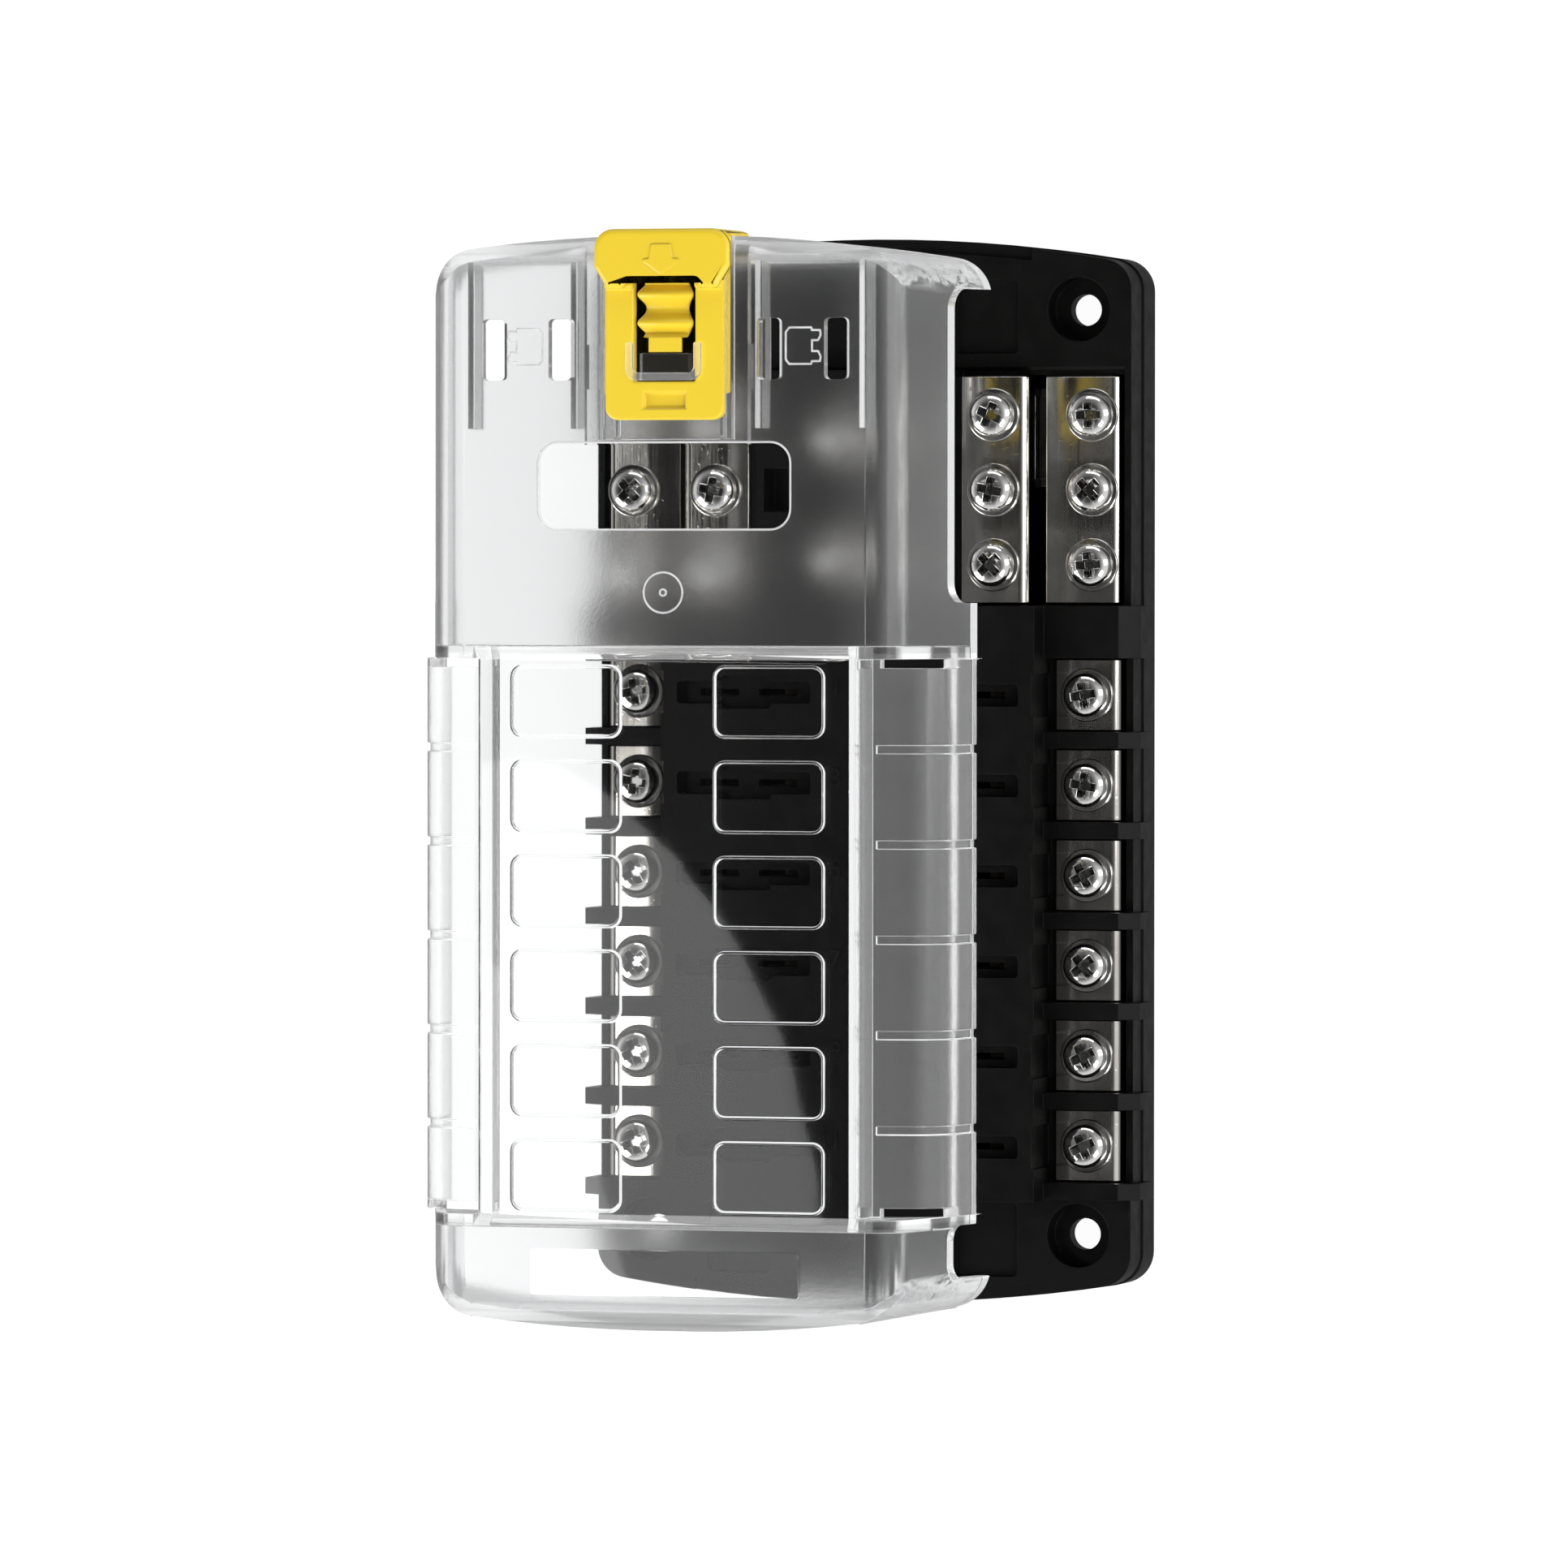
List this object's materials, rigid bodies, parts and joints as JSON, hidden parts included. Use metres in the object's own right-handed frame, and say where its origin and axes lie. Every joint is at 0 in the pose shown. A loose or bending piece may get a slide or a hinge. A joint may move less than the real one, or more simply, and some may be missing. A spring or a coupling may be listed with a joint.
{
  "type": "blade fuse block",
  "caption": "Blade fuse block: black base with screw terminals, fuse sockets and a negative bus, and a lift-off clear cover with a push latch.",
  "frame": {"origin": "middle of the flat mounting face at the back of the base", "axes": "+Z out of the mounting face towards the cover, +Y along the block towards the latch end, +X across to the block's right"},
  "size_m": [0.0876, 0.162, 0.1181],
  "materials": {
    "black_plastic": "fine moulded texture",
    "plated_sheet": "nickel plated, lightly brushed",
    "bright_steel": "bright plated",
    "contact_metal": "tin plated spring metal",
    "clear_plastic": "clear, frosted in places",
    "yellow_plastic": "satin moulded"
  },
  "bodies": {
    "base": {"base_housing": "black_plastic", "rear_plate": "black_plastic", "positive_bus": "plated_sheet", "negative_bus": "plated_sheet", "inner_bar_right": "plated_sheet", "inner_bar_left": "plated_sheet", "supply_clips": "contact_metal", "outlet_clips": "contact_metal", "outlet_terminal_01": "plated_sheet", "outlet_terminal_02": "plated_sheet", "outlet_terminal_03": "plated_sheet", "outlet_terminal_04": "plated_sheet", "outlet_terminal_05": "plated_sheet", "outlet_terminal_06": "plated_sheet", "outlet_terminal_07": "plated_sheet", "outlet_terminal_08": "plated_sheet", "outlet_terminal_09": "plated_sheet", "outlet_terminal_10": "plated_sheet", "outlet_terminal_11": "plated_sheet", "outlet_terminal_12": "plated_sheet", "outlet_screws": "bright_steel", "outlet_washers": "bright_steel", "bus_screws": "bright_steel", "bus_washers": "bright_steel", "positive_stud": "bright_steel", "negative_stud": "bright_steel", "stud_washers": "bright_steel", "stud_nuts": "bright_steel"},
    "cover": {"cover": "clear_plastic"},
    "latch": {"latch": "yellow_plastic", "latch_spring": "yellow_plastic"}
  },
  "joints": [
    {"name": "cover_lift", "type": "slide", "parent": "base", "child": "cover", "axis": [0, 0, 1], "range_m": [-0.0793, 0]},
    {"name": "latch_slide", "type": "slide", "parent": "cover", "child": "latch", "axis": [0, -1, 0], "range_m": [0, 0.0025], "stiffness_N_per_m": 1200, "springref_m": -0.0008, "deforming": ["latch_spring"]}
  ]
}
